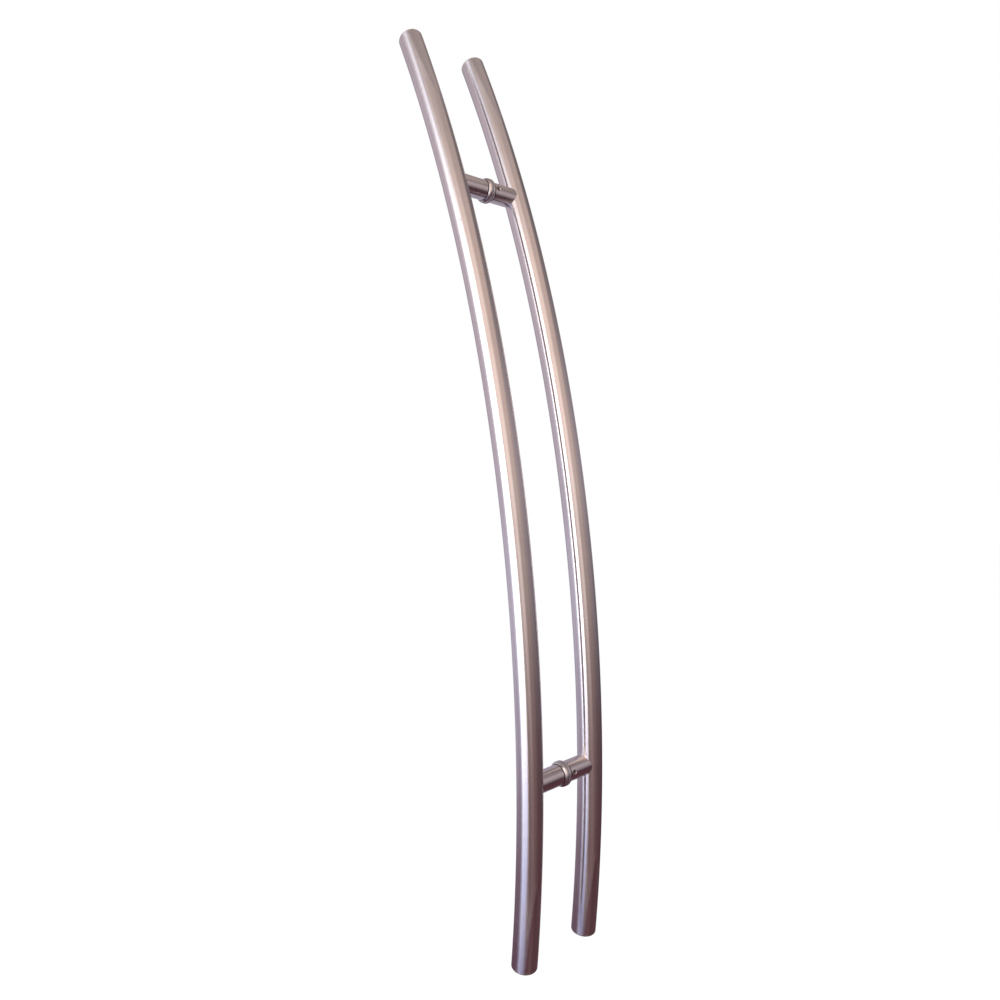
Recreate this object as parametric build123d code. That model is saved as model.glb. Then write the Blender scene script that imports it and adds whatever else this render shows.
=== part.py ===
from build123d import *
import os
from math import cos, degrees, sin, sqrt

# A pair of curved round-tube pull handles, fixed back to back by two bolted posts.
# Millimetres. +Z runs along the handle, +Y is the door's normal, and both bars bow towards +X.
# The origin is midway between the two post axes, on the plane where the two halves meet.

# The bars: bent round tubes, each an arc in a plane parallel to the door.
bar_diameter = 32.0
bar_wall = 1.5
bar_length = 1200.0  # along the arc, over both end caps
bend_radius = 2150.0  # of the bar's centreline
bar_spacing = 106.0  # between the two centrelines

# The end caps: flat discs with a spigot inside the tube.
cap_thickness = 2.5
cap_spigot_length = 9.0
cap_spigot_clearance = 0.1
cap_edge_round = 0.4

# The posts: round tubes coped to the bars.
post_spacing = 745.0  # between the two post axes
post_diameter = 25.4
post_wall = 3.2
post_end_chamfer = 0.3

# The collars: a flanged ring each side of the meeting plane, with a thin gasket on its face.
gasket_thickness = 0.75
gasket_inset = 0.4  # how far the gasket's rim lies inside the ring's
collar_diameter = 30.8
collar_thickness = 5.1
collar_shoulder = 2.6  # the cone between the rim and the back, both along and across
collar_shoulder_round = 3.0  # where the cone meets the rim
collar_edge_round = 0.3  # on the flange's other two corners
shadow_gap = 0.45  # between a collar and the end of its post
step_inset = 1.0  # how far the step that carries the post lies inside the post's surface

# The clamp boss inside each far post, which the post slips over.
spigot_length = 14.0
spigot_clearance = 0.1
spigot_lead_chamfer = 0.8
groove_depth = 1.0
groove_side_clearance = 0.3

# The clamp bolt, its spring washer and the threaded insert in the near post.
bolt_diameter = 8.0
bolt_hole_clearance = 0.25
thread_clearance = 0.05
thread_engagement = 16.9
bolt_tip_chamfer = 0.8
bolt_head_diameter = 13.0
bolt_head_height = 8.0
bolt_head_chamfer = 0.6
bolt_head_clearance = 0.4
bolt_head_sink = 0.5  # below the end of the boss
bolt_socket_width = 6.0  # across flats
bolt_socket_depth = 4.0
washer_thickness = 2.0
washer_slit = 1.2
insert_length = 20.0
insert_clearance = 0.05
insert_chamfer = 0.6

# The set screw that locks each far post on its boss.
screw_diameter = 6.0
screw_offset = 4.9  # from the end of the post to the screw's axis
screw_sink = 1.0  # below the post's surface
screw_seat_clearance = 0.05
screw_edge_chamfer = 0.5
screw_socket_width = 3.0  # across flats
screw_socket_depth = 1.6
screw_cup_radius = 1.4
screw_cup_depth = 0.5

# Sizes that follow from the ones above.
bar_radius = bar_diameter / 2
post_radius = post_diameter / 2
post_bore_radius = post_radius - post_wall
collar_radius = collar_diameter / 2
collar_face = gasket_thickness
collar_back = collar_face + collar_thickness
post_start = collar_back + shadow_gap
step_radius = post_radius - step_inset
bolt_radius = bolt_diameter / 2
bolt_hole_radius = bolt_radius + bolt_hole_clearance
thread_bore_radius = bolt_radius + thread_clearance
bolt_head_radius = bolt_head_diameter / 2
spigot_radius = post_bore_radius - spigot_clearance
spigot_end = post_start + spigot_length
counterbore_radius = bolt_head_radius + bolt_head_clearance
counterbore_floor = spigot_end - bolt_head_sink - bolt_head_height - washer_thickness
bolt_seat = counterbore_floor + washer_thickness
screw_radius = screw_diameter / 2
screw_height = post_start + screw_offset
groove_radius = spigot_radius - groove_depth
arc_centre_x = -sqrt(bend_radius**2 - (post_spacing / 2) ** 2)

sides = {"near": -1, "far": 1}
levels = {"upper": 1, "lower": -1}


def turned(outline, roundings=()):
    """Turns (radius, height) corners about +Z; roundings are pairs of a corner and its radius."""
    face = make_face(Polyline(*outline, close=True))
    for corner, radius in roundings:
        face = fillet(face.vertices().sort_by_distance((*corner, 0))[0], radius)
    return revolve(Plane.XZ * face, Axis.Z)


def hexagon_hole(width, mouth, depth):
    """A hexagonal socket cut down from the height of its mouth."""
    socket = extrude(RegularPolygon(width / 2, 6, major_radius=False), depth)
    return Pos(0, 0, mouth - depth) * socket


def post_frame(side, level):
    """The frame of one post: its +Z runs from the meeting plane out to the bar."""
    return Plane((0, 0, level * post_spacing / 2), x_dir=(1, 0, 0), z_dir=(0, side, 0))


def bent_bar(side, outer, inner, length):
    """A round section carried along the bar's arc, centred on its middle."""
    y = side * bar_spacing / 2
    section = Circle(outer) - Circle(inner) if inner else Circle(outer)
    axis = Axis((arc_centre_x, y, 0), (0, -1, 0))
    angle = degrees(length / bend_radius)
    solid = revolve(Pos(arc_centre_x + bend_radius, y, 0) * section, axis, angle)
    return solid.rotate(axis, -angle / 2)


def bar_tube(side):
    return bent_bar(side, bar_radius, bar_radius - bar_wall, bar_length - 2 * cap_thickness)


def end_cap(side, level):
    """A disc flush with the tube, square to the arc, with its spigot pointing back into the bore."""
    end_angle = (bar_length / 2 - cap_thickness) / bend_radius
    mouth = (
        arc_centre_x + bend_radius * cos(end_angle),
        side * bar_spacing / 2,
        level * bend_radius * sin(end_angle),
    )
    outward = (-sin(end_angle), 0, level * cos(end_angle))
    spigot = bar_radius - bar_wall - cap_spigot_clearance
    outline = [
        (0, -cap_spigot_length),
        (spigot, -cap_spigot_length),
        (spigot, 0),
        (bar_radius, 0),
        (bar_radius, cap_thickness),
        (0, cap_thickness),
    ]
    solid = turned(outline, [((bar_radius, cap_thickness), cap_edge_round)])
    return Plane(mouth, x_dir=(0, 1, 0), z_dir=outward) * solid


def post(side, level):
    """A tube from its collar to the bar, coped to the bar's surface."""
    reach = bar_spacing / 2
    outline = [
        (post_bore_radius, post_start),
        (post_radius - post_end_chamfer, post_start),
        (post_radius, post_start + post_end_chamfer),
        (post_radius, reach),
        (post_bore_radius, reach),
    ]
    solid = turned(outline)
    if side == sides["far"]:
        hole = Rot(Y=90) * Cylinder(
            screw_radius + thread_clearance, post_diameter, align=(Align.CENTER, Align.CENTER, Align.MIN)
        )
        solid -= Pos(0, 0, screw_height) * hole
    return post_frame(side, level) * solid - bent_bar(side, bar_radius, 0, bar_length)


def threaded_insert(level):
    """A plug in the end of the near post; its plain bore stands for the thread."""
    outer = post_bore_radius - insert_clearance
    end = post_start + insert_length
    outline = [
        (thread_bore_radius, post_start),
        (outer, post_start),
        (outer, end - insert_chamfer),
        (outer - insert_chamfer, end),
        (thread_bore_radius, end),
    ]
    return post_frame(sides["near"], level) * turned(outline)


def gasket(side, level):
    rim = collar_radius - gasket_inset
    outline = [
        (bolt_hole_radius, 0),
        (rim, 0),
        (rim, gasket_thickness),
        (bolt_hole_radius, gasket_thickness),
    ]
    return post_frame(side, level) * turned(outline)


def collar_outline():
    """The flange and the step behind it, from the bore's front edge to the step's rim."""
    return [
        (bolt_hole_radius, collar_face),
        (collar_radius, collar_face),
        (collar_radius, collar_back - collar_shoulder),
        (collar_radius - collar_shoulder, collar_back),
        (step_radius, collar_back),
        (step_radius, post_start),
    ]


def collar_roundings():
    return [
        ((collar_radius, collar_back - collar_shoulder), collar_shoulder_round),
        ((collar_radius - collar_shoulder, collar_back), collar_edge_round),
        ((collar_radius, collar_face), collar_edge_round),
    ]


def collar_ring(level):
    outline = collar_outline() + [(bolt_hole_radius, post_start)]
    return post_frame(sides["near"], level) * turned(outline, collar_roundings())


def clamp_boss(level):
    """The far collar with its spigot, locking groove and counterbore, turned in one piece."""
    groove_half = screw_radius + groove_side_clearance
    outline = collar_outline() + [
        (spigot_radius, post_start),
        (spigot_radius, screw_height - groove_half - groove_depth),
        (groove_radius, screw_height - groove_half),
        (groove_radius, screw_height + groove_half),
        (spigot_radius, screw_height + groove_half + groove_depth),
        (spigot_radius, spigot_end - spigot_lead_chamfer),
        (spigot_radius - spigot_lead_chamfer, spigot_end),
        (counterbore_radius, spigot_end),
        (counterbore_radius, counterbore_floor),
        (bolt_hole_radius, counterbore_floor),
    ]
    return post_frame(sides["far"], level) * turned(outline, collar_roundings())


def clamp_bolt(level):
    """A socket-head bolt from the boss's counterbore into the near post's insert."""
    tip = -(post_start + thread_engagement)
    top = bolt_seat + bolt_head_height
    outline = [
        (0, tip),
        (bolt_radius - bolt_tip_chamfer, tip),
        (bolt_radius, tip + bolt_tip_chamfer),
        (bolt_radius, bolt_seat),
        (bolt_head_radius, bolt_seat),
        (bolt_head_radius, top - bolt_head_chamfer),
        (bolt_head_radius - bolt_head_chamfer, top),
        (0, top),
    ]
    solid = turned(outline) - hexagon_hole(bolt_socket_width, top, bolt_socket_depth)
    return post_frame(sides["far"], level) * solid


def spring_washer(level):
    """A split ring under the bolt's head."""
    outline = [
        (bolt_hole_radius, counterbore_floor),
        (bolt_head_radius, counterbore_floor),
        (bolt_head_radius, bolt_seat),
        (bolt_hole_radius, bolt_seat),
    ]
    slit = Pos(bolt_head_radius, 0, counterbore_floor + washer_thickness / 2) * Box(
        bolt_head_diameter, washer_slit, 2 * washer_thickness
    )
    return post_frame(sides["far"], level) * (turned(outline) - slit)


def set_screw(level):
    """A socket set screw, from the boss's groove out to just below the far post's surface."""
    tip = groove_radius + screw_seat_clearance
    top = post_radius - screw_sink
    outline = [
        (0, tip + screw_cup_depth),
        (screw_cup_radius, tip),
        (screw_radius - screw_edge_chamfer, tip),
        (screw_radius, tip + screw_edge_chamfer),
        (screw_radius, top - screw_edge_chamfer),
        (screw_radius - screw_edge_chamfer, top),
        (0, top),
    ]
    solid = turned(outline) - hexagon_hole(screw_socket_width, top, screw_socket_depth)
    return post_frame(sides["far"], level) * (Pos(0, 0, screw_height) * (Rot(Y=90) * solid))


def all_nodes():
    """Every separate piece by its node's name."""
    nodes = {}
    for side_name, side in sides.items():
        nodes[f"{side_name}_bar_tube"] = bar_tube(side)
        for level_name, level in levels.items():
            nodes[f"{side_name}_bar_{level_name}_cap"] = end_cap(side, level)
            nodes[f"{side_name}_{level_name}_post"] = post(side, level)
            nodes[f"{level_name}_{side_name}_gasket"] = gasket(side, level)
    for level_name, level in levels.items():
        nodes[f"{level_name}_threaded_insert"] = threaded_insert(level)
        nodes[f"{level_name}_collar_ring"] = collar_ring(level)
        nodes[f"{level_name}_clamp_boss"] = clamp_boss(level)
        nodes[f"{level_name}_clamp_bolt"] = clamp_bolt(level)
        nodes[f"{level_name}_spring_washer"] = spring_washer(level)
        nodes[f"{level_name}_set_screw"] = set_screw(level)
    return nodes


os.makedirs("parts", exist_ok=True)
for name, shape in all_nodes().items():
    export_step(shape, f"parts/{name}.step")
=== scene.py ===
from math import atan2, cos, pi, radians, sin, sqrt, tan

import bpy
from bpy.props import FloatProperty, FloatVectorProperty, IntProperty, PointerProperty
from mathutils import Matrix, Vector


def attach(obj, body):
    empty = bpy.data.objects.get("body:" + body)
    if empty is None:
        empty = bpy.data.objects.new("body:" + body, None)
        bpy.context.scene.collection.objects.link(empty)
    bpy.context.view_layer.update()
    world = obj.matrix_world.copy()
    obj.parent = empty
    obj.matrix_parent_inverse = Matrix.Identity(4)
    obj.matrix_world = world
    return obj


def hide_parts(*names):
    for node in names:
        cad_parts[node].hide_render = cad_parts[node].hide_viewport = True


bl_info = {
    "name": "Curved pull handle pair",
    "version": (1, 0, 0),
    "blender": (4, 5, 0),
    "location": "3D View > Sidebar > Handle",
    "description": "Dresses a back-to-back pair of bent round-tube pull handles in satin steel",
    "category": "Object",
}

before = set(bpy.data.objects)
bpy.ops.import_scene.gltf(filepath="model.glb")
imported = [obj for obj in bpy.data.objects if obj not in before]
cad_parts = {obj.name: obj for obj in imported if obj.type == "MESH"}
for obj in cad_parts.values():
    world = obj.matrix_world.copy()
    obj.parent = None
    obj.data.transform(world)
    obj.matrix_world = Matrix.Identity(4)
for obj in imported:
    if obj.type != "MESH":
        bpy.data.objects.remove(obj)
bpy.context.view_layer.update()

# Which way each side lies along Y, and each level along Z.
SIDES = {"near": -1, "far": 1}
LEVELS = {"upper": 1, "lower": -1}
MM = 0.001
# Points closer together than this are the same point.
SAME_POINT = 0.001 * MM
# Points this close to a surface, or to the end of a piece, lie on it.
ON_SURFACE = 0.1 * MM


def length(name, description, millimetres):
    """A length, kept in metres like everything else in the file."""
    return FloatProperty(
        name=name, description=description, default=millimetres * MM, unit="LENGTH", precision=5
    )


def count(name, description, default):
    """A number of faces."""
    return IntProperty(name=name, description=description, default=default, min=24)


def colour(name, description, default):
    return FloatVectorProperty(
        name=name, description=description, default=default, size=3, subtype="COLOR", min=0, max=1
    )


class HandleSizes(bpy.types.PropertyGroup):
    """The sizes that the new pieces are modelled from."""

    bar_diameter: length("Bar diameter", "Outside diameter of the bent tube", 32)
    bar_wall: length("Bar wall", "Wall thickness of the bent tube", 1.5)
    bar_length: length("Bar length", "Length along the arc, over both end caps", 1200)
    bend_radius: length("Bend radius", "Radius of the bent tube's centreline", 2150)
    bar_spacing: length("Bar spacing", "Distance between the two centrelines", 106)
    bar_sides: count("Bar sides", "Faces around the bent tube", 96)
    bar_steps: count("Bar steps", "Faces along the bent tube", 240)
    cap_sides: count("Cap sides", "Faces around an end cap", 96)
    post_sides: count("Post sides", "Faces around a post", 128)
    collar_sides: count("Collar sides", "Faces around a collar or gasket", 160)
    screw_sides: count("Screw sides", "Faces around a set screw and its hole", 64)
    cap_thickness: length("Cap thickness", "Thickness of the end cap's disc", 2.5)
    cap_spigot: length("Cap spigot", "Length of the end cap's spigot in the bore", 9)
    cap_clearance: length("Cap clearance", "Between the cap's spigot and the bore", 0.1)
    cap_lead: length("Cap lead chamfer", "Chamfer on the inner end of the cap's spigot", 0.5)
    cap_edge_round: length("Cap edge rounding", "Rounding of the cap's outer edge", 0.4)
    joint_chamfer: length("Joint chamfer", "Chamfer each side of the joint under a cap", 0.02)
    post_spacing: length("Post spacing", "Distance between the two post axes", 745)
    post_diameter: length("Post diameter", "Outside diameter of a post", 25.4)
    post_wall: length("Post wall", "Wall thickness of a post", 3.2)
    post_chamfer: length("Post chamfer", "Chamfer on the end of a post", 0.3)
    post_ring: length("Post ring", "From a post's end to its extra ring of points", 12)
    cope_reach: length("Cope reach", "How far a post's end is drawn, at least, onto its bar", 0.5)
    gasket_thickness: length("Gasket thickness", "Thickness of a gasket", 0.75)
    gasket_inset: length("Gasket inset", "How far a gasket's rim lies inside the collar's", 0.4)
    gasket_edge_round: length("Gasket edge rounding", "Rounding of a gasket's rim", 0.2)
    collar_diameter: length("Collar diameter", "Outside diameter of a collar", 30.8)
    collar_thickness: length("Collar thickness", "Thickness of a collar's flange", 5.1)
    collar_shoulder: length("Collar shoulder", "Cone behind a collar's rim, along and across", 2.6)
    collar_shoulder_round: length("Shoulder rounding", "Where the cone meets the rim", 3)
    collar_edge_round: length("Collar edge rounding", "On the flange's other two corners", 0.3)
    shadow_gap: length("Shadow gap", "Between a collar and the end of its post", 0.45)
    step_inset: length("Step inset", "How far the gap's step lies inside the post's surface", 1)
    bolt_hole: length("Bolt hole", "Diameter of the hole for the clamp bolt", 8.5)
    spigot_length: length("Spigot length", "How far a clamp boss reaches into its post", 14)
    spigot_clearance: length("Spigot clearance", "Between a clamp boss and its post's bore", 0.1)
    spigot_chamfer: length("Spigot chamfer", "Lead chamfer of a clamp boss", 0.8)
    counterbore: length("Counterbore", "Diameter of the bolt head's counterbore", 13.8)
    counterbore_depth: length("Counterbore depth", "Depth of the bolt head's counterbore", 10.5)
    groove_width: length("Groove width", "Width of the boss's locking groove at its floor", 6.6)
    groove_depth: length("Groove depth", "Depth of the boss's locking groove", 1)
    screw_diameter: length("Set screw diameter", "Outside diameter of a set screw", 6)
    screw_clearance: length("Set screw clearance", "From a set screw to its hole or groove", 0.05)
    screw_offset: length("Set screw offset", "From the end of a post to its set screw's axis", 4.9)
    screw_sink: length("Set screw sink", "From a post's surface to its set screw's end", 1)
    screw_chamfer: length("Set screw chamfer", "Chamfer on both ends of a set screw", 0.5)
    screw_cup: length("Set screw cup", "Radius of the hollow in a set screw's tip", 1.4)
    socket_width: length("Socket width", "A set screw's hexagon socket, across flats", 3)
    socket_depth: length("Socket depth", "Depth of a set screw's hexagon socket", 1.6)
    countersink: length("Countersink", "How far a set screw's hole is widened at the surface", 0.5)
    speck_along: length("Speck along", "Speck on the near bar, up the bend from mid-height", 311.3)
    speck_around: length("Speck around", "The same, round the bar from outside the bend", -15.75)
    speck_size: length("Speck size", "Diameter of the speck", 1.9)


class HandleColours(bpy.types.PropertyGroup):
    """The colours that the finishes are mixed from."""

    satin_steel: colour("Satin steel", "Brushed steel of the bars and posts", (0.66, 0.61, 0.605))
    worn_steel: colour("Worn steel", "Where hands have dulled the brushing", (0.59, 0.54, 0.53))
    turned_steel: colour("Turned steel", "Lathe-turned collars and bosses", (0.56, 0.52, 0.52))
    zinc: colour("Zinc plating", "Bolts, washers and inserts inside the posts", (0.55, 0.55, 0.52))
    black_oxide: colour("Black oxide", "Set screws", (0.30, 0.27, 0.27))
    rubber: colour("Rubber", "Gaskets between the collars", (0.15, 0.13, 0.165))
    # This colour is real grime on the speck and on the hidden fixings. It is also painted shade in
    # the gaps between the collars and the posts' ends.
    dirt_and_gap_shade: colour("Dirt", "Grime in joints and holes", (0.06, 0.045, 0.045))
    floor: colour("Floor", "The pale floor and surroundings", (1.0, 1.0, 1.0))


def sizes():
    return bpy.context.scene.handle_sizes


def colours():
    return bpy.context.scene.handle_colours


def post_start():
    """From the meeting plane to the end of a post."""
    s = sizes()
    return s.gasket_thickness + s.collar_thickness + s.shadow_gap


def arc_centre_x():
    """The bars' centre of bend, from which the centrelines cross the post axes at x = 0."""
    s = sizes()
    return -sqrt(s.bend_radius**2 - (s.post_spacing / 2) ** 2)


def on_centreline(side, angle):
    """The point of a bar's centreline at an angle round the bend, from mid-height."""
    s = sizes()
    x = arc_centre_x() + s.bend_radius * cos(angle)
    return Vector((x, side * s.bar_spacing / 2, s.bend_radius * sin(angle)))


# Modelling by hand in edit mode.


def select_only(piece):
    """Leaves edit mode and selects this piece alone, or nothing."""
    if bpy.context.object and bpy.context.object.mode != "OBJECT":
        bpy.ops.object.mode_set(mode="OBJECT")
    bpy.ops.object.select_all(action="DESELECT")
    if piece:
        piece.select_set(True)
        bpy.context.view_layer.objects.active = piece


def select_points(piece, wanted):
    """Selects the points whose place passes the test; the piece is left in edit mode."""
    bpy.ops.object.mode_set(mode="EDIT")
    bpy.ops.mesh.select_mode(type="VERT")
    bpy.ops.mesh.select_all(action="DESELECT")
    bpy.ops.object.mode_set(mode="OBJECT")
    for point in piece.data.vertices:
        point.select = wanted(point.co)
    bpy.ops.object.mode_set(mode="EDIT")


def settle(piece, place=None):
    """Puts the piece's place into its mesh, so that its object sits unturned at the origin."""
    select_only(piece)
    if place is not None:
        piece.matrix_world = place
    bpy.ops.object.transform_apply(location=True, rotation=True, scale=True)


def close_surface(piece):
    """Merges doubles and turns every face outwards."""
    bpy.ops.object.mode_set(mode="EDIT")
    bpy.ops.mesh.select_all(action="SELECT")
    bpy.ops.mesh.remove_doubles(threshold=SAME_POINT)
    bpy.ops.mesh.normals_make_consistent(inside=False)
    bpy.ops.object.mode_set(mode="OBJECT")


def smooth(piece):
    """Shades the piece smooth, but keeps every edge sharper than 32 degrees."""
    select_only(piece)
    bpy.ops.object.shade_smooth_by_angle(angle=radians(32), keep_sharp_edges=True)


def turned(name, outline, sides, roundings=(), closed=True):
    """Draws (radius, height) corners by pulling one point along, rounds some, and spins all.

    A rounding names its corner, its size and its number of faces. The spin is about +Z.
    """
    select_only(None)
    first = Vector((outline[0][0], 0, outline[0][1]))
    bpy.ops.mesh.primitive_plane_add(size=MM, location=first)
    piece = bpy.context.object
    piece.name = piece.data.name = name
    settle(piece)
    bpy.ops.object.mode_set(mode="EDIT")
    bpy.ops.mesh.select_mode(type="VERT")
    bpy.ops.mesh.select_all(action="SELECT")
    bpy.ops.mesh.merge(type="CENTER")
    last = first
    for radius, height in outline[1:]:
        corner = Vector((radius, 0, height))
        bpy.ops.mesh.extrude_region_move(TRANSFORM_OT_translate={"value": corner - last})
        last = corner
    if closed:
        ends = (first, last)
        select_points(piece, lambda co: min((co - end).length for end in ends) < SAME_POINT)
        bpy.ops.mesh.edge_face_add()
    for (radius, height), amount, segments in roundings:
        corner = Vector((radius, 0, height))
        select_points(piece, lambda co: (co - corner).length < SAME_POINT)
        bpy.ops.mesh.bevel(offset=amount, segments=segments, affect="VERTICES")
    bpy.ops.mesh.select_all(action="SELECT")
    bpy.ops.mesh.spin(steps=sides, angle=2 * pi, center=(0, 0, 0), axis=(0, 0, 1))
    close_surface(piece)
    return piece


def apply_modifier(piece, kind, **settings):
    """Adds a modifier with these settings and makes it part of the mesh."""
    select_only(piece)
    modifier = piece.modifiers.new(kind.title(), kind)
    for key, value in settings.items():
        setattr(modifier, key, value)
    bpy.ops.object.modifier_apply(modifier=modifier.name)


def placed(middle, across, outward):
    """A place with its origin at the middle, its +X across and its +Z outward."""
    turn = Matrix((across, outward.cross(across), outward)).transposed().to_4x4()
    return Matrix.Translation(middle) @ turn


def post_place(side, level):
    """Where a post stands: its +Z runs from the meeting plane out to the bar, its +X stays."""
    middle = Vector((0, 0, level * sizes().post_spacing / 2))
    return placed(middle, Vector((1, 0, 0)), Vector((0, side, 0)))


def screw_place(level):
    """Where a set screw lies in its far post: its +Z points out of the post, along +X."""
    s = sizes()
    middle = Vector((0, post_start() + s.screw_offset, level * s.post_spacing / 2))
    return placed(middle, Vector((0, 1, 0)), Vector((1, 0, 0)))


def cap_place(side, level):
    """Where an end cap's underside meets its tube, square to the arc."""
    s = sizes()
    angle = level * (s.bar_length / 2 - s.cap_thickness) / s.bend_radius
    outward = level * Vector((-sin(angle), 0, cos(angle)))
    return placed(on_centreline(side, angle), Vector((0, 1, 0)), outward)


def dress(piece, finish, slot, *nodes):
    """Gives a finished piece its material and body, and hides the solids it stands for."""
    piece.data.materials.clear()
    piece.data.materials.append(finish)
    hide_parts(*nodes)
    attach(piece, "root")


# Shader maths.


class Signal:
    """One output of a node; arithmetic on it adds Math nodes."""

    def __init__(self, finish, socket):
        self.finish = finish
        self.socket = socket

    def math(self, operation, *values):
        """This number and the values, through one Math node."""
        return self.finish.add("Math", {"operation": operation}, dict(enumerate((self, *values))))

    def __add__(self, other):
        return self.math("ADD", other)

    __radd__ = __add__

    def __sub__(self, other):
        return self.math("SUBTRACT", other)

    def __rsub__(self, other):
        return (self * -1) + other

    def __mul__(self, other):
        return self.math("MULTIPLY", other)

    def step(self, low, high):
        """Rises smoothly from 0 at low to 1 at high."""
        inputs = {"Value": self, "From Min": low, "From Max": high}
        return self.finish.add("MapRange", {"interpolation_type": "SMOOTHSTEP"}, inputs)


class Finish:
    """A node material under construction."""

    def __init__(self, name):
        self.material = bpy.data.materials.new(name)
        self.material.use_nodes = True
        self.tree = self.material.node_tree
        self.tree.nodes.clear()
        self.object_place = self.add("TexCoord", output="Object")

    def add(self, kind, settings=None, inputs=None, output=0):
        """Adds a node with its settings and inputs, and gives one of its outputs."""
        node = self.tree.nodes.new("ShaderNode" + kind)
        for key, value in (settings or {}).items():
            setattr(node, key, value)
        for key, value in (inputs or {}).items():
            if isinstance(value, Signal):
                self.tree.links.new(value.socket, node.inputs[key])
            elif isinstance(node.inputs[key].default_value, float):
                node.inputs[key].default_value = value
            else:
                node.inputs[key].default_value = self.fitted(node.inputs[key], value)
        return Signal(self, node.outputs[output])

    def fitted(self, socket, value):
        """A three-part colour gets the alpha that its socket holds."""
        return (*value, 1) if len(socket.default_value) == 4 and len(value) == 3 else value

    def place_parts(self, axes="XYZ"):
        """Where on its object a point lies, one number for each axis."""
        inputs = {"Vector": self.object_place}
        return [self.add("SeparateXYZ", inputs=inputs, output=axis) for axis in axes]

    def vector(self, x, y, z):
        return self.add("CombineXYZ", inputs={"X": x, "Y": y, "Z": z})

    def noise(self, place, scale, detail=2.0, roughness=0.5):
        inputs = {"Vector": place, "Scale": scale, "Detail": detail, "Roughness": roughness}
        return self.add("TexNoise", inputs=inputs, output="Fac")

    def streaks(self, parts, grains, detail, roughness=0.5):
        """Noise that is drawn out: each part of the place has its own number of grains a metre."""
        scaled = (part * number for part, number in zip(parts, grains))
        return self.noise(self.vector(*scaled), 1.0, detail, roughness)

    def mix(self, factor, first, second):
        """Blends two colours by a number from 0 to 1."""
        node = self.tree.nodes.new("ShaderNodeMix")
        node.data_type = "RGBA"
        for name, value in (("Factor_Float", factor), ("A_Color", first), ("B_Color", second)):
            socket = next(s for s in node.inputs if s.identifier == name)
            if isinstance(value, Signal):
                self.tree.links.new(value.socket, socket)
            else:
                socket.default_value = (*value, 1)
        return Signal(self, next(s for s in node.outputs if s.identifier == "Result_Color"))

    def multiply(self, first, second):
        """Multiplies two colours."""
        return self.add("VectorMath", {"operation": "MULTIPLY"}, {0: first, 1: second})

    def bump(self, height, distance, strength):
        inputs = {"Height": height, "Distance": distance, "Strength": strength}
        return self.add("Bump", inputs=inputs)

    def brushed(self, lines, amount):
        """The surface's own normal, tipped along Y by fine lines, which blur what it mirrors."""
        own = self.add("TexCoord", output="Normal")
        tip = self.vector(0, (lines - 0.5) * amount, 0)
        tipped = self.add("VectorMath", {"operation": "ADD"}, {0: own, 1: tip})
        return self.add("VectorMath", {"operation": "NORMALIZE"}, {0: tipped})

    def surface(self, shader):
        """Ends the material with this shader."""
        output = self.tree.nodes.new("ShaderNodeOutputMaterial")
        self.tree.links.new(shader.socket, output.inputs["Surface"])
        return self.material

    def metal(self, **inputs):
        """Ends the material with a Principled surface, metallic unless told otherwise."""
        values = {key.replace("_", " ").title(): value for key, value in inputs.items()}
        values.setdefault("Metallic", 1.0)
        return self.surface(self.add("BsdfPrincipled", inputs=values))


# Fine brushing all round a piece draws its highlights out along the piece.
BRUSHED_ROUND = {"anisotropic": 0.95, "anisotropic_rotation": 0.25}


def bar_finish(name, side):
    """Satin steel brushed around the bar, with faint long lines left from drawing the tube."""
    s, c = sizes(), colours()
    f = Finish(name)
    x, y, z = f.place_parts()
    out = x - arc_centre_x()
    reach = (out * out + z * z).math("SQRT")
    along = z.math("ARCTAN2", out) * s.bend_radius
    rise = reach - s.bend_radius
    aside = y - side * s.bar_spacing / 2
    parts = (along, rise, aside)
    lines = f.streaks(parts, (4200, 90, 90), detail=3.0, roughness=0.6)
    bands = f.streaks(parts, (240, 30, 30), detail=2.0)
    clouds = f.streaks(parts, (9, 22, 22), detail=3.0)
    drawn = f.streaks(parts, (3, 380, 380), detail=1.0)
    handled = clouds.step(0.46, 0.72)
    worn = handled * 0.45 + bands.step(0.35, 0.7) * 0.2 + drawn.step(0.4, 0.65) * 0.35
    base = f.mix(worn, c.satin_steel, c.worn_steel)
    if side == SIDES["near"]:
        around = aside.math("ARCTAN2", rise) * (s.bar_diameter / 2) - s.speck_around
        beyond = along - s.speck_along
        from_speck = (beyond * beyond + around * around).math("SQRT")
        base = f.mix(from_speck.step(s.speck_size / 4, s.speck_size / 2), c.dirt_and_gap_shade, base)
    roughness = 0.22 + lines * 0.04 + handled * 0.03
    normal = f.bump(lines, 0.00001, 0.35)
    return f.metal(base_color=base, roughness=roughness, normal=normal, **BRUSHED_ROUND)


def cap_finish(name):
    """The flat end cap, satin-finished like the bar, with a few dull patches."""
    c = colours()
    f = Finish(name)
    grain = f.noise(f.object_place, 900.0, detail=3.0)
    patches = f.noise(f.object_place, 60.0, detail=2.0)
    base = f.mix(patches.step(0.4, 0.7) * 0.5, c.satin_steel, c.worn_steel)
    roughness = 0.23 + grain * 0.05
    normal = f.bump(grain, 0.000008, 0.3)
    return f.metal(base_color=base, roughness=roughness, normal=normal, **BRUSHED_ROUND)


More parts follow.
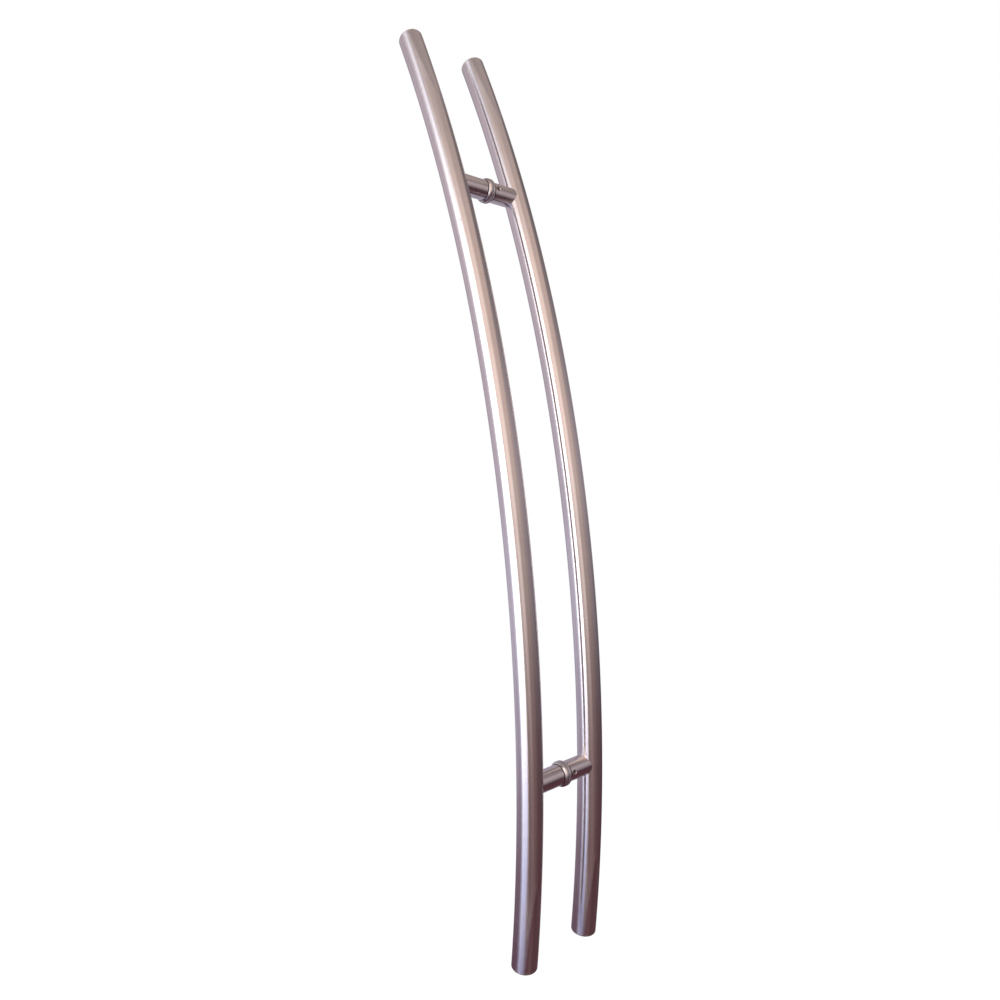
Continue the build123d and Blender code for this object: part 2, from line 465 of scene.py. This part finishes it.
def post_finish(name):
    """Satin steel brushed around the post, duller near the bar, with painted shade on its end in
    the gap by the collar.
    """
    s, c = sizes(), colours()
    f = Finish(name)
    x, y, z = f.place_parts()
    lines = f.streaks((x, y, z), (160, 9000, 160), detail=2.0, roughness=0.6)
    clouds = f.streaks((x, y, z), (60, 90, 60), detail=2.0)
    out = y.math("ABSOLUTE")
    by_bar = out.step((s.bar_spacing - s.bar_diameter) / 2 - 1.5 * MM, s.bar_spacing / 2)
    base = f.mix(clouds.step(0.4, 0.75) * 0.4 + by_bar * 0.3, c.satin_steel, c.worn_steel)
    # Painted shade: the post's end, in the gap by its collar, takes the dark dirt colour.
    past_shaded_end = out.step(post_start() + 0.4 * MM, post_start() + 0.6 * MM)
    base = f.mix(past_shaded_end, c.dirt_and_gap_shade, base)
    return f.metal(base_color=base, roughness=0.15 + lines * 0.05, normal=f.brushed(lines, 0.55))


def collar_finish(name):
    """Turned steel with fine lathe rings, with painted shade on the back of the flange, in the gap
    by the post.
    """
    s, c = sizes(), colours()
    f = Finish(name)
    x, y, z = f.place_parts()
    lines = f.streaks((x, y, z), (100, 6000, 100), detail=2.0)
    clouds = f.noise(f.object_place, 90.0, detail=2.0)
    base = f.mix(clouds.step(0.4, 0.75) * 0.35, c.turned_steel, c.worn_steel)
    back = s.gasket_thickness + s.collar_thickness
    # Painted shade: the flange's back and its step, in the gap by the post, take the dark dirt
    # colour and turn rough.
    shaded_gap = y.math("ABSOLUTE").step(back - 0.4 * MM, back - 0.2 * MM)
    base = f.mix(shaded_gap, base, c.dirt_and_gap_shade)
    roughness = 0.27 + lines * 0.06 + shaded_gap * 0.4
    return f.metal(base_color=base, roughness=roughness, normal=f.brushed(lines, 0.3))


def gasket_finish(name):
    """Matt dark rubber with a faint moulded grain."""
    c = colours()
    f = Finish(name)
    grain = f.noise(f.object_place, 1500.0, detail=3.0)
    dust = f.noise(f.object_place, 200.0, detail=2.0).step(0.5, 0.8)
    base = f.mix(dust * 0.3, c.rubber, c.worn_steel)
    normal = f.bump(grain, 0.00004, 0.4)
    roughness = 0.6 + grain * 0.15
    return f.metal(base_color=base, roughness=roughness, normal=normal, metallic=0.0)


def fixing_finish(name):
    """Bright zinc plating on machined steel."""
    c = colours()
    f = Finish(name)
    grain = f.noise(f.object_place, 700.0, detail=3.0)
    stain = f.noise(f.object_place, 150.0, detail=3.0).step(0.45, 0.75)
    base = f.mix(stain * 0.5, c.zinc, c.dirt_and_gap_shade)
    normal = f.bump(grain, 0.00003, 0.4)
    return f.metal(base_color=base, roughness=0.32 + grain * 0.12, normal=normal)


def screw_finish(name):
    """Dark set screws, rubbed brighter on their edges."""
    c = colours()
    f = Finish(name)
    grain = f.noise(f.object_place, 1100.0, detail=3.0)
    rubbed = f.add("NewGeometry", output="Pointiness").step(0.52, 0.6)
    base = f.mix(rubbed * 0.7, c.black_oxide, c.turned_steel)
    normal = f.bump(grain, 0.00002, 0.4)
    return f.metal(base_color=base, roughness=0.35 + grain * 0.15, normal=normal)


# The stage.

# The room that the metal mirrors, in metres, and the pale floor that reaches far beyond it.
FLOOR_HEIGHT = -1.3
FLOOR_WIDTH = 40
FLOOR_GLOW = 0.6
ROOM_RADIUS = 3.3
ROOM_TOP = 7.0
CARD_SIDES = 96

# Its colours, at half strength: the glow doubles them.
GLOW = 2.0
BACK_WALL = (0.24, 0.21, 0.25)
LEFT_WALL = (0.35, 0.31, 0.35)
WINDOW_SURROUND = (0.45, 0.42, 0.47)
WINDOW_SIDE = (0.75, 0.77, 0.80)
WINDOW_REVEAL = (0.42, 0.38, 0.44)
LINTEL = (0.28, 0.235, 0.245)
CURTAIN_GLOW = (0.55, 0.57, 0.67)
FRONT_WALL = (0.62, 0.51, 0.455)
FRONT_STRIP = (0.90, 0.73, 0.65)
SIDE_WALL = (0.44, 0.35, 0.31)
DOORWAY_LOW = (0.29, 0.255, 0.28)
DOORWAY_EDGE = (0.35, 0.29, 0.28)
DOORWAY_HIGH = (0.14, 0.12, 0.123)
CEILING = (0.25, 0.215, 0.21)
NEAR_FLOOR = (0.061, 0.026, 0.031)
FAR_FLOOR = (0.05, 0.026, 0.034)
LEFT_FLOOR = (0.045, 0.006, 0.02)
PALE_FLOOR = (0.24, 0.22, 0.25)
FRONT_FLOOR = (0.105, 0.058, 0.063)
WINDOW_SHEEN = (0.33, 0.39, 0.68)

# The window's light, in metres, with its bearing from the camera in degrees.
WINDOW_BEARING = -43.2
WINDOW_DISTANCE = 2.2
WINDOW_WIDTH = 2.1
WINDOW_HEIGHT = 2.68
WINDOW_MIDDLE = 0.28
WINDOW_RADIANCE = 2.4
WINDOW_LIGHT = (0.98, 0.99, 1.0)

# The photograph's camera: metres, radians, and millimetres for the lens and its film.
CAMERA_PLACE = (0.67552, -0.64769, -0.09829)
CAMERA_AZIMUTH = 0.84081
CAMERA_ELEVATION = -0.0736
CAMERA_ROLL = -0.1254
CAMERA_LENS = 26.7905
CAMERA_FILM = 36
CAMERA_NEAREST = 0.05


def towards_camera():
    """From the handle towards the camera, level with the floor."""
    return Vector((sin(CAMERA_AZIMUTH), -cos(CAMERA_AZIMUTH), 0))


# In what follows a bearing is in degrees from the camera, seen from the handle and growing to the
# right, and a height is in metres from the middle of the handle.


def bearing_of(f):
    """The bearing of a place on a card, and how far away from the handle's axis it is."""
    x, y = f.place_parts("XY")
    turn = towards_camera()
    forward = x * turn.x + y * turn.y
    sideways = x * -turn.y + y * turn.x
    away = (forward * forward + sideways * sideways).math("SQRT")
    return sideways.math("ARCTAN2", forward) * (180 / pi), away


def within(signal, low, high, soft):
    """1 between low and high, falling smoothly to 0 outside."""
    return signal.step(low - soft, low + soft) * (1 - signal.step(high - soft, high + soft))


def wall_colour(f, bearing, height):
    """Grey behind, lighter round the window on the left, warm in front."""
    paint = f.mix(within(bearing, -140, -40, 12), BACK_WALL, LEFT_WALL)
    paint = f.mix(within(bearing, -88, -40, 8), paint, WINDOW_SURROUND)
    low = 1 - height.step(-0.3, 0.4)
    paint = f.mix(within(bearing, -95, -70, 5) * low, paint, WINDOW_REVEAL)
    paint = f.mix(within(bearing, -79, -60, 3) * low, paint, WINDOW_SIDE)
    paint = f.mix(within(bearing, -40, 60, 8), paint, FRONT_WALL)
    paint = f.mix(front_strip(bearing, height), paint, FRONT_STRIP)
    paint = f.mix(within(bearing, 24, 150, 9), paint, SIDE_WALL)
    lintel = within(bearing, -72, -19, 5) * height.step(1.5, 2.1)
    return f.mix(lintel, paint, LINTEL)


def front_strip(bearing, height):
    """A bright strip of the front wall, which leans to the left and fades as it rises."""
    risen = height.math("MAXIMUM", 0).math("MINIMUM", 1)
    strip = (bearing + risen * 14).step(-7, 7) * (1 - (bearing + risen * 5).step(15, 29))
    return strip * (1 - height.step(0, 1.2) * 0.55) * (1 - height.step(2.0, 3.0))


def foot_shade(height):
    """The light on the front wall and in the doorway, which fails towards the floor."""
    return height.step(-1.5, 0.6) * 0.6 + 0.4


def wall_light(f, bearing, height):
    """What the room's light makes of the wall's colour: darker, cooler and redder low down."""
    in_front = within(bearing, -26, 150, 12)
    behind = 1 - within(bearing, -150, 165, 10)
    side_foot = height.step(-1.45, -1.1) * 0.65 + 0.35
    light = foot_shade(height) * in_front + side_foot * (1 - in_front)
    light = light + behind * (1 - light)
    corner = within(bearing, 27, 64, 6) * (1 - height.step(-1.4, -0.5))
    light = light * (1 - corner * 0.5)
    cool = (1 - height.step(-0.1, 0.6)) * 0.18
    plum = (1 - height.step(-1.4, -1.0)) * (1 - behind) * 0.2
    red = light * (1 + plum * 0.3)
    green = light * (1 + cool * 0.5 - plum * 1.2)
    blue = light * (1 + cool - plum * 0.8)
    return f.vector(red, green, blue)


def doorway_colour(f, bearing, height):
    """The dark doorway on the right: dim at its foot, darker above and deep inside."""
    paint = f.mix(bearing.step(66, 90), DOORWAY_EDGE, DOORWAY_LOW)
    foot = foot_shade(height)
    paint = f.multiply(paint, f.vector(foot, foot, foot))
    paint = f.mix(height.step(0.2, 2.2), paint, DOORWAY_HIGH)
    inside = bearing.step(90, 125) * (0.28 + (1 - height.step(-0.7, 0.1)) * 0.22)
    left_over = 1 - inside
    return f.multiply(paint, f.vector(left_over, left_over, left_over))


def wall_paint(f):
    """The wall card: the wall in its light, the ceiling's edge, the curtain and the doorway."""
    bearing = bearing_of(f)[0]
    height = f.place_parts("Z")[0]
    paint = f.multiply(wall_colour(f, bearing, height), wall_light(f, bearing, height))
    paint = f.mix(height.step(2.7, 4.3), paint, CEILING)
    curtain = within(bearing, -66, -45, 4) * height.step(1.9, 2.6)
    paint = f.mix(curtain, paint, CURTAIN_GLOW)
    lean = (height - 0.8).math("MAXIMUM", 0) * 16
    doorway = (bearing - lean).step(53, 61) * (1 - bearing.step(148, 156))
    doorway = doorway * (1 - height.step(3.3, 4.8))
    return f.mix(doorway, paint, doorway_colour(f, bearing, height))


def floor_paint(f):
    """The red-brown floor card, with the window's cool sheen on it."""
    bearing, away = bearing_of(f)
    paint = f.mix(away.step(0.9, 2.0), NEAR_FLOOR, FAR_FLOOR)
    paint = f.mix(within(bearing, -150, -72, 8), paint, LEFT_FLOOR)
    # Painted reflection: the front floor's patch fades nearer the handle.
    front_floor_fade = away.step(0.8, 1.7) * 0.35 + 0.65
    paint = f.mix(within(bearing, 2, 56, 12) * front_floor_fade, paint, FRONT_FLOOR)
    behind = 1 - within(bearing, -155, 158, 6)
    paint = f.mix(behind * away.step(0.4, 1.2), paint, PALE_FLOOR)
    far_sheen = within(bearing, -80, -25, 5) * away.step(1.5, 2.1) * 0.8
    paint = f.mix(far_sheen, paint, WINDOW_SHEEN)
    sheen = within(bearing, -68, -29, 4) * away.step(0.45, 1.6)
    return f.mix(sheen, paint, WINDOW_SHEEN)


def ceiling_paint(f):
    """The dim ceiling card, darkest overhead."""
    away = bearing_of(f)[1]
    return f.mix(away.step(0, ROOM_RADIUS), DOORWAY_HIGH, CEILING)


class HANDLE_OT_stage(bpy.types.Operator):
    """Adds the floor, the surroundings, the lights and the camera"""

    bl_idname = "handle.stage"
    bl_label = "Stage"

    def execute(self, context):
        context.scene.view_settings.view_transform = "Standard"
        self.surroundings(context)
        self.floor()
        self.wall_card()
        self.level_card("floor_card", FLOOR_HEIGHT + 10 * MM, floor_paint)
        self.level_card("ceiling_card", ROOM_TOP, ceiling_paint)
        self.window(context)
        self.camera(context)
        return {"FINISHED"}

    def surroundings(self, context):
        """An even white all round, to the camera, to the metal and as light."""
        world = bpy.data.worlds.new("surroundings")
        context.scene.world = world
        world.use_nodes = True
        background = world.node_tree.nodes["Background"]
        background.inputs["Color"].default_value = (*colours().floor, 1)
        background.inputs["Strength"].default_value = 1.0

    def floor(self):
        """A wide pale floor well below the handle; it keeps the handle's soft shadow.

        To the camera and the metal it also glows a little, so that it runs into the surroundings.
        """
        select_only(None)
        bpy.ops.mesh.primitive_grid_add(
            x_subdivisions=8, y_subdivisions=8, size=FLOOR_WIDTH, location=(0, 0, FLOOR_HEIGHT)
        )
        floor = bpy.context.object
        floor.name = "pale_floor"
        settle(floor)
        f = Finish("pale_floor")
        kinds = ("Is Camera Ray", "Is Glossy Ray", "Is Transmission Ray")
        camera, mirrored, through = (f.add("LightPath", output=kind) for kind in kinds)
        seen = camera.math("MAXIMUM", mirrored).math("MAXIMUM", through)
        matt = f.add("BsdfDiffuse", inputs={"Color": colours().floor})
        glow = f.add("Emission", inputs={"Color": colours().floor, "Strength": 1.0})
        shader = f.add("MixShader", inputs={"Fac": seen * FLOOR_GLOW, 1: matt, 2: glow})
        floor.data.materials.append(f.surface(shader))

    def circle(self, name, height, fill):
        """A level circle as wide as the room."""
        select_only(None)
        bpy.ops.mesh.primitive_circle_add(
            vertices=CARD_SIDES, radius=ROOM_RADIUS, fill_type=fill, location=(0, 0, height)
        )
        card = bpy.context.object
        card.name = name
        settle(card)
        return card

    def wall_card(self):
        """The round wall, pulled up from a circle."""
        wall = self.circle("wall_card", FLOOR_HEIGHT, "NOTHING")
        bpy.ops.object.mode_set(mode="EDIT")
        bpy.ops.mesh.select_all(action="SELECT")
        rise = ROOM_TOP - FLOOR_HEIGHT
        bpy.ops.mesh.extrude_region_move(TRANSFORM_OT_translate={"value": (0, 0, rise)})
        bpy.ops.object.mode_set(mode="OBJECT")
        self.paint(wall, wall_paint)

    def level_card(self, name, height, colour_of):
        """A level disc, which closes the room below or above."""
        self.paint(self.circle(name, height, "NGON"), colour_of)

    def paint(self, card, colour_of):
        """Lets a card glow in the colours given, for the metal's reflections only."""
        f = Finish(card.name)
        glow = f.add("Emission", inputs={"Color": colour_of(f), "Strength": GLOW})
        card.data.materials.append(f.surface(glow))
        card.visible_camera = False
        card.visible_diffuse = False
        card.visible_shadow = False
        card.visible_transmission = False
        card.visible_volume_scatter = False

    def window(self, context):
        """A tall soft light, as wide as a window, to the left of the camera."""
        turn = towards_camera()
        angle = atan2(turn.y, turn.x) + radians(WINDOW_BEARING)
        outward = Vector((cos(angle), sin(angle), 0))
        data = bpy.data.lights.new("window_light", "AREA")
        data.shape = "RECTANGLE"
        data.size = WINDOW_WIDTH
        data.size_y = WINDOW_HEIGHT
        data.energy = WINDOW_RADIANCE * pi * data.size * data.size_y
        data.color = WINDOW_LIGHT
        light = bpy.data.objects.new("window_light", data)
        light.visible_camera = False
        context.scene.collection.objects.link(light)
        place = outward * WINDOW_DISTANCE + Vector((0, 0, WINDOW_MIDDLE))
        facing = outward.to_track_quat("Z", "Y").to_matrix().to_4x4()
        light.matrix_world = Matrix.Translation(place) @ facing

    def camera(self, context):
        """The photograph's camera: close, a little low, and rolled."""
        data = bpy.data.cameras.new("camera")
        data.lens = CAMERA_LENS
        data.sensor_width = CAMERA_FILM
        data.clip_start = CAMERA_NEAREST
        camera = bpy.data.objects.new("camera", data)
        context.scene.collection.objects.link(camera)
        flat = towards_camera() * cos(CAMERA_ELEVATION)
        back = Vector((flat.x, flat.y, sin(CAMERA_ELEVATION)))
        level_right = Vector((0, 0, 1)).cross(back).normalized()
        level_up = back.cross(level_right)
        right = cos(CAMERA_ROLL) * level_right + sin(CAMERA_ROLL) * level_up
        up = cos(CAMERA_ROLL) * level_up - sin(CAMERA_ROLL) * level_right
        turn = Matrix((right, up, back)).transposed().to_4x4()
        camera.matrix_world = Matrix.Translation(CAMERA_PLACE) @ turn
        context.scene.camera = camera


# The pieces.


class HANDLE_OT_bars(bpy.types.Operator):
    """Models the two bent tubes, each a ring spun along the bend"""

    bl_idname = "handle.bars"
    bl_label = "Bars"

    def execute(self, context):
        for side_name, side in SIDES.items():
            bar = self.bent_tube(f"{side_name}_bent_bar", side)
            dress(bar, bar_finish(f"{side_name}_bar_satin", side), "bar", f"{side_name}_bar_tube")
        return {"FINISHED"}

    def bent_tube(self, name, side):
        """Draws the ring at the lower end, then spins it up the bend."""
        s = sizes()
        angle = (s.bar_length - 2 * s.cap_thickness) / s.bend_radius
        centre = Vector((arc_centre_x(), side * s.bar_spacing / 2, 0))
        select_only(None)
        bpy.ops.mesh.primitive_circle_add(
            vertices=s.bar_sides,
            radius=s.bar_diameter / 2,
            fill_type="NGON",
            location=on_centreline(side, -angle / 2),
            rotation=(0, angle / 2, 0),
        )
        bar = bpy.context.object
        bar.name = bar.data.name = name
        settle(bar)
        bpy.ops.object.mode_set(mode="EDIT")
        bpy.ops.mesh.select_mode(type="FACE")
        bpy.ops.mesh.select_all(action="SELECT")
        bpy.ops.mesh.inset(thickness=s.bar_wall)
        bpy.ops.mesh.delete(type="FACE")
        bpy.ops.mesh.select_all(action="SELECT")
        bpy.ops.mesh.spin(steps=s.bar_steps, angle=angle, center=centre, axis=(0, 1, 0))
        close_surface(bar)
        self.chamfer_ends(bar, centre, angle / 2)
        smooth(bar)
        return bar

    def chamfer_ends(self, bar, centre, half_angle):
        """Breaks the outer edge of both ends, which shows as a fine joint under the cap."""
        s = sizes()

        def on_outer_rim(co):
            from_centre = co - centre
            angle = abs(atan2(from_centre.z, from_centre.x))
            rise = Vector((from_centre.x, 0, from_centre.z)).length - s.bend_radius
            outer = abs(Vector((rise, from_centre.y)).length - s.bar_diameter / 2) < ON_SURFACE
            return outer and abs(angle - half_angle) * s.bend_radius < ON_SURFACE

        select_points(bar, on_outer_rim)
        bpy.ops.mesh.bevel(offset=s.joint_chamfer, segments=1, affect="EDGES")
        bpy.ops.object.mode_set(mode="OBJECT")


class HANDLE_OT_end_caps(bpy.types.Operator):
    """Models an end cap in each end of both bars"""

    bl_idname = "handle.end_caps"
    bl_label = "End caps"

    def execute(self, context):
        s = sizes()
        radius = s.bar_diameter / 2
        spigot = radius - s.bar_wall - s.cap_clearance
        outline = [
            (0, -s.cap_spigot),
            (spigot, -s.cap_spigot),
            (spigot, 0),
            (radius, 0),
            (radius, s.cap_thickness),
            (0, s.cap_thickness),
        ]
        roundings = [
            ((radius, s.cap_thickness), s.cap_edge_round, 4),
            ((radius, 0), s.joint_chamfer, 1),
            ((spigot, -s.cap_spigot), s.cap_lead, 1),
        ]
        finish = cap_finish("cap_satin")
        for side_name, side in SIDES.items():
            for level_name, level in LEVELS.items():
                name = f"{side_name}_bar_{level_name}_cap"
                cap = turned(name + "_disc", outline, s.cap_sides, roundings, closed=False)
                settle(cap, cap_place(side, level))
                smooth(cap)
                dress(cap, finish, "cap", name)
        return {"FINISHED"}


class HANDLE_OT_posts(bpy.types.Operator):
    """Models the four posts as turned tubes whose ends are drawn onto the bars"""

    bl_idname = "handle.posts"
    bl_label = "Posts"

    def execute(self, context):
        s = sizes()
        finish = post_finish("post_satin")
        radius = s.post_diameter / 2
        bore = radius - s.post_wall
        start = post_start()
        reach = (s.bar_spacing - s.bar_diameter) / 2 - s.cope_reach
        outline = [
            (bore, start),
            (radius, start),
            (radius, start + s.post_ring),
            (radius, reach),
            (bore, reach),
        ]
        chamfer = [((radius, start), s.post_chamfer, 1)]
        for side_name, side in SIDES.items():
            bar = bpy.data.objects[f"{side_name}_bent_bar"]
            for level_name, level in LEVELS.items():
                name = f"{side_name}_{level_name}_post"
                post = turned(name + "_tube", outline, s.post_sides, chamfer)
                settle(post, post_place(side, level))
                self.cope(post, bar, side, reach)
                if side == SIDES["far"]:
                    self.drill_for_screw(post, level)
                smooth(post)
                dress(post, finish, "post", name)
        return {"FINISHED"}

    def cope(self, post, bar, side, reach):
        """Draws the points at the bar's end of the post straight onto the bar's surface."""
        group = post.vertex_groups.new(name="bar_end")
        ends = [v.index for v in post.data.vertices if abs(v.co.y) > reach - ON_SURFACE]
        group.add(ends, 1.0, "REPLACE")
        apply_modifier(
            post,
            "SHRINKWRAP",
            target=bar,
            wrap_method="PROJECT",
            use_project_x=False,
            use_project_y=True,
            use_project_z=False,
            use_positive_direction=side > 0,
            use_negative_direction=side < 0,
            vertex_group=group.name,
        )
        post.vertex_groups.clear()

    def drill_for_screw(self, post, level):
        """Cuts the set screw's hole from the side, countersunk where it breaks the surface."""
        s = sizes()
        hole = s.screw_diameter / 2 + s.screw_clearance
        surface = s.post_diameter / 2
        above = 2 * MM
        outline = [
            (0, 0),
            (hole, 0),
            (hole, surface - s.countersink),
            (hole + s.countersink + above, surface + above),
            (0, surface + above),
        ]
        drill = turned("drill", outline, s.screw_sides, closed=False)
        settle(drill, screw_place(level))
        apply_modifier(post, "BOOLEAN", object=drill, operation="DIFFERENCE", solver="EXACT")
        bpy.data.objects.remove(drill)


class HANDLE_OT_collars(bpy.types.Operator):
    """Models the collar rings, the clamp bosses and the gaskets between them"""

    bl_idname = "handle.collars"
    bl_label = "Collars"

    def execute(self, context):
        steel = collar_finish("collar_turned")
        rubber = gasket_finish("gasket_rubber")
        hole = (sizes().bolt_hole / 2, post_start())
        for level_name, level in LEVELS.items():
            ring = self.flanged(f"{level_name}_flange_ring", [hole])
            settle(ring, post_place(SIDES["near"], level))
            smooth(ring)
            dress(ring, steel, "collar", f"{level_name}_collar_ring")
            boss = self.flanged(f"{level_name}_flange_boss", self.spigot_outline())
            settle(boss, post_place(SIDES["far"], level))
            smooth(boss)
            dress(boss, steel, "collar", f"{level_name}_clamp_boss")
            for side_name, side in SIDES.items():
                name = f"{level_name}_{side_name}_gasket"
                gasket = self.washer(name + "_ring")
                settle(gasket, post_place(side, level))
                smooth(gasket)
                dress(gasket, rubber, "gasket", name)
        return {"FINISHED"}

    def flanged(self, name, rest):
        """A flange with its step, whose outline goes on with the rest of the corners."""
        s = sizes()
        # A rounding of radius 1 starts this far from a corner of 45 degrees.
        setback = tan(pi / 8)
        rim = s.collar_diameter / 2
        step = s.post_diameter / 2 - s.step_inset
        face = s.gasket_thickness
        back = face + s.collar_thickness
        cone_start = (rim, back - s.collar_shoulder)
        cone_end = (rim - s.collar_shoulder, back)
        outline = [
            (s.bolt_hole / 2, face),
            (rim, face),
            cone_start,
            cone_end,
            (step, back),
            (step, post_start()),
            *rest,
        ]
        roundings = [
            (cone_start, s.collar_shoulder_round * setback, 8),
            (cone_end, s.collar_edge_round * setback, 2),
            ((rim, face), s.collar_edge_round, 4),
        ]
        return turned(name, outline, s.collar_sides, roundings)

    def spigot_outline(self):
        """A clamp boss behind its flange: the grooved spigot, then the bolt's counterbore."""
        s = sizes()
        spigot = s.post_diameter / 2 - s.post_wall - s.spigot_clearance
        groove = spigot - s.groove_depth
        groove_middle = post_start() + s.screw_offset
        groove_half = s.groove_width / 2
        end = post_start() + s.spigot_length
        return [
            (spigot, post_start()),
            (spigot, groove_middle - groove_half - s.groove_depth),
            (groove, groove_middle - groove_half),
            (groove, groove_middle + groove_half),
            (spigot, groove_middle + groove_half + s.groove_depth),
            (spigot, end - s.spigot_chamfer),
            (spigot - s.spigot_chamfer, end),
            (s.counterbore / 2, end),
            (s.counterbore / 2, end - s.counterbore_depth),
            (s.bolt_hole / 2, end - s.counterbore_depth),
        ]

    def washer(self, name):
        """A gasket's flat ring, rounded at the outer edge of its face."""
        s = sizes()
        rim = s.collar_diameter / 2 - s.gasket_inset
        hole = s.bolt_hole / 2
        face = s.gasket_thickness
        outline = [(hole, 0), (rim, 0), (rim, face), (hole, face)]
        return turned(name, outline, s.collar_sides, [((rim, face), s.gasket_edge_round, 3)])


class HANDLE_OT_set_screws(bpy.types.Operator):
    """Models the set screws with their hexagon sockets and cupped tips"""

    bl_idname = "handle.set_screws"
    bl_label = "Set screws"

    def execute(self, context):
        s = sizes()
        radius = s.screw_diameter / 2
        groove = s.post_diameter / 2 - s.post_wall - s.spigot_clearance - s.groove_depth
        tip = groove + s.screw_clearance
        top = s.post_diameter / 2 - s.screw_sink
        outline = [
            (0, tip + s.screw_chamfer),
            (s.screw_cup, tip),
            (radius - s.screw_chamfer, tip),
            (radius, tip + s.screw_chamfer),
            (radius, top - s.screw_chamfer),
            (radius - s.screw_chamfer, top),
            (0, top),
        ]
        finish = screw_finish("screw_dark")
        for level_name, level in LEVELS.items():
            name = f"{level_name}_set_screw"
            screw = turned(name + "_hexagon", outline, s.screw_sides, closed=False)
            self.cut_socket(screw, top)
            settle(screw, screw_place(level))
            smooth(screw)
            dress(screw, finish, "screw", name)
        return {"FINISHED"}

    def cut_socket(self, screw, top):
        """Cuts the hexagon socket with a six-sided key, half of which lies in the screw."""
        s = sizes()
        over_corners = s.socket_width / cos(pi / 6)
        select_only(None)
        bpy.ops.mesh.primitive_cylinder_add(
            vertices=6, radius=over_corners / 2, depth=2 * s.socket_depth, location=(0, 0, top)
        )
        key = bpy.context.object
        apply_modifier(screw, "BOOLEAN", object=key, operation="DIFFERENCE", solver="EXACT")
        bpy.data.objects.remove(key)


class HANDLE_OT_fixings(bpy.types.Operator):
    """Gives the hidden bolts, washers and inserts, which keep their own shape, their finish"""

    bl_idname = "handle.fixings"
    bl_label = "Fixings"

    def execute(self, context):
        finish = fixing_finish("fixing_zinc")
        for node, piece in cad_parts.items():
            if node.endswith(("threaded_insert", "clamp_bolt", "spring_washer")):
                for place in piece.material_slots:
                    place.material = finish
        return {"FINISHED"}


class HANDLE_PT_panel(bpy.types.Panel):
    """Lists the steps that dress the handle"""

    bl_idname = "HANDLE_PT_panel"
    bl_label = "Curved pull handle"
    bl_space_type = "VIEW_3D"
    bl_region_type = "UI"
    bl_category = "Handle"

    def draw(self, context):
        for step in STEPS:
            self.layout.operator(step.bl_idname)
        for group in (context.scene.handle_sizes, context.scene.handle_colours):
            box = self.layout.box()
            for name in group.__annotations__:
                box.prop(group, name)


STEPS = (
    HANDLE_OT_stage,
    HANDLE_OT_bars,
    HANDLE_OT_end_caps,
    HANDLE_OT_posts,
    HANDLE_OT_collars,
    HANDLE_OT_set_screws,
    HANDLE_OT_fixings,
)
CLASSES = (HandleSizes, HandleColours, *STEPS, HANDLE_PT_panel)


def register():
    for entry in CLASSES:
        bpy.utils.register_class(entry)
    bpy.types.Scene.handle_sizes = PointerProperty(type=HandleSizes)
    bpy.types.Scene.handle_colours = PointerProperty(type=HandleColours)


def unregister():
    del bpy.types.Scene.handle_colours
    del bpy.types.Scene.handle_sizes
    for entry in reversed(CLASSES):
        bpy.utils.unregister_class(entry)


def main():
    register()
    bpy.ops.handle.stage()
    bpy.ops.handle.bars()
    bpy.ops.handle.end_caps()
    bpy.ops.handle.posts()
    bpy.ops.handle.collars()
    bpy.ops.handle.set_screws()
    bpy.ops.handle.fixings()


if __name__ == "__main__":
    main()
